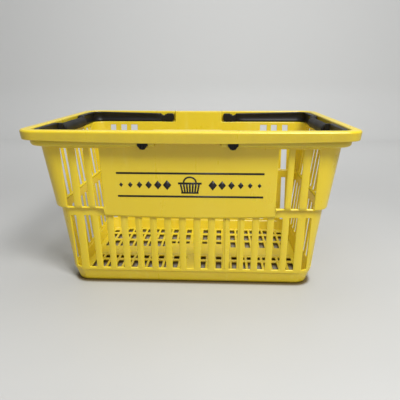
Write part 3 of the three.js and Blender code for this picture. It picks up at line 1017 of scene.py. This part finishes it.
class BASKET_OT_handles(bpy.types.Operator):
    """Make both strap handles and their grips"""

    bl_idname = "basket.make_handles"
    bl_label = "Handles and Grips"

    def execute(self, context):
        sizes, finish = context.scene.basket_handle, context.scene.basket_finish
        strap_fit = ("handle_plastic", black_plastic("handle_plastic", finish.handle, 700.0, 0.28))
        grip_fit = ("grip_plastic", black_plastic("grip_plastic", finish.handle, 420.0, 0.42))
        for side, end in ((-1, "left"), (1, "right")):
            body = f"{end}_bail"
            points, faces = strap_mesh(side, sizes.edge / MM, sizes.recess / MM)
            add_mesh(f"{end}_strap", points, faces, body, *strap_fit, [f"{end}_handle"])
            points, faces = grip_mesh(side)
            add_mesh(f"{end}_sleeve", points, faces, body, *grip_fit, [f"{end}_grip"])
        return {"FINISHED"}


class BASKET_OT_clips(bpy.types.Operator):
    """Give the pivot clips their finish"""

    bl_idname = "basket.finish_clips"
    bl_label = "Pivot Clips"

    def execute(self, context):
        material = black_plastic("clip_plastic", context.scene.basket_finish.handle, 800.0, 0.3)
        clips = [node for name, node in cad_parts.items() if name.endswith("pivot_clip")]
        if not clips:
            raise RuntimeError("the frame has no pivot clips")
        for clip in clips:
            clip.data.materials.clear()
            clip.data.materials.append(material)
        return {"FINISHED"}


class BASKET_OT_mark(bpy.types.Operator):
    """Print the generic mark on the front panel"""

    bl_idname = "basket.print_mark"
    bl_label = "Panel Mark"

    def execute(self, context):
        points, faces = mark_sheet()
        material = panel_ink(context.scene.basket_finish.ink)
        mark = add_mesh("panel_mark", points, faces, "basket", "panel_ink", material)
        solid = mark.modifiers.new("ink", "SOLIDIFY")
        solid.thickness = MARK_DEPTH * MM
        solid.offset = 1
        return {"FINISHED"}


def add_area_light(name, place, target, size, power):
    """A soft square light that faces a point."""
    light = bpy.data.lights.new(name, "AREA")
    light.shape = "SQUARE"
    light.size = size
    light.energy = power
    lamp = bpy.data.objects.new(name, light)
    lamp.location = place
    lamp.rotation_euler = (Vector(target) - Vector(place)).to_track_quat("-Z", "Y").to_euler()
    bpy.context.collection.objects.link(lamp)


def backdrop_mesh():
    """Floor and wall as one sheet: flat, then a quarter circle, then upright. It lies just below the
    basket's underside."""
    turn = np.linspace(0, math.pi / 2, 17)
    radius, back, reach, tall, sink = 250.0, 1500.0, 4000.0, 3000.0, 0.05
    y = np.concatenate([[-reach], back - radius + radius * np.sin(turn), [back]])
    z = np.concatenate([[0.0], radius - radius * np.cos(turn), [tall]]) - sink
    x = np.array([[-reach, reach]])
    points = np.stack(np.broadcast_arrays(x, y[:, None], z[:, None]), axis=-1)
    faces = [[2 * i, 2 * i + 1, 2 * i + 3, 2 * i + 2] for i in range(len(y) - 1)]
    return points.reshape(-1, 3), faces


class BASKET_OT_stage(bpy.types.Operator):
    """Set up the floor, the light and the camera"""

    bl_idname = "basket.set_stage"
    bl_label = "Stage"

    def execute(self, context):
        settings, scene = context.scene.basket_stage, context.scene
        points, faces = backdrop_mesh()
        mesh = bpy.data.meshes.new("backdrop")
        mesh.from_pydata((points * MM).tolist(), [], faces)
        mesh.shade_smooth()
        mesh.materials.append(pale_ground())
        backdrop = bpy.data.objects.new("backdrop", mesh)
        context.collection.objects.link(backdrop)

        world = bpy.data.worlds.new("soft_room")
        world.use_nodes = True
        background = world.node_tree.nodes["Background"].inputs
        background["Color"].default_value = (0.95, 0.97, 1.0, 1)
        background["Strength"].default_value = 0.28
        scene.world = world
        add_area_light("key_light", (0.5, -0.95, 1.35), (0, 0, 0.12), 0.5, 27)
        add_area_light("ceiling_light", (0.0, 0.2, 1.8), (0, 0, 0.1), 1.5, 11)

        camera = bpy.data.objects.new("camera", bpy.data.cameras.new("camera"))
        camera.data.lens = settings.lens
        camera.data.sensor_width = 36
        camera.data.clip_start = 0.01
        camera.location = settings.camera
        yaw = Matrix.Rotation(settings.yaw, 4, "Z")
        pitch = Matrix.Rotation(math.pi / 2 - settings.pitch, 4, "X")
        roll = Matrix.Rotation(settings.roll, 4, "Z")
        camera.rotation_euler = (yaw @ pitch @ roll).to_euler()
        context.collection.objects.link(camera)
        scene.camera = camera
        scene.view_settings.view_transform = "Standard"
        return {"FINISHED"}


class BASKET_PT_panel(bpy.types.Panel):
    """Lists the basket's steps and settings"""

    bl_idname = "BASKET_PT_panel"
    bl_label = "Hand Basket"
    bl_space_type = "VIEW_3D"
    bl_region_type = "UI"
    bl_category = "Basket"

    def draw(self, context):
        for group in GROUPS:
            box = self.layout.box()
            settings = getattr(context.scene, group)
            for name in settings.bl_rna.properties.keys():
                if name not in ("rna_type", "name"):
                    box.prop(settings, name)
        for operator in OPERATORS:
            self.layout.operator(operator.bl_idname)


# ---------------------------------------------------------------- registration and the run

GROUPS = {
    "basket_shell": BasketShellSizes,
    "basket_handle": BasketHandleSizes,
    "basket_finish": BasketFinish,
    "basket_stage": BasketStage,
}
OPERATORS = (
    BASKET_OT_stage,
    BASKET_OT_shell,
    BASKET_OT_handles,
    BASKET_OT_clips,
    BASKET_OT_mark,
)


def register():
    for name, group in GROUPS.items():
        bpy.utils.register_class(group)
        setattr(bpy.types.Scene, name, PointerProperty(type=group))
    for operator in OPERATORS:
        bpy.utils.register_class(operator)
    bpy.utils.register_class(BASKET_PT_panel)


def unregister():
    bpy.utils.unregister_class(BASKET_PT_panel)
    for operator in OPERATORS:
        bpy.utils.unregister_class(operator)
    for name, group in GROUPS.items():
        delattr(bpy.types.Scene, name)
        bpy.utils.unregister_class(group)


def main():
    """Builds everything in order."""
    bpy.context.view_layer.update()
    register()
    bpy.ops.basket.set_stage()
    bpy.ops.basket.make_shell()
    bpy.ops.basket.make_handles()
    bpy.ops.basket.finish_clips()
    bpy.ops.basket.print_mark()


if __name__ == "__main__":
    main()
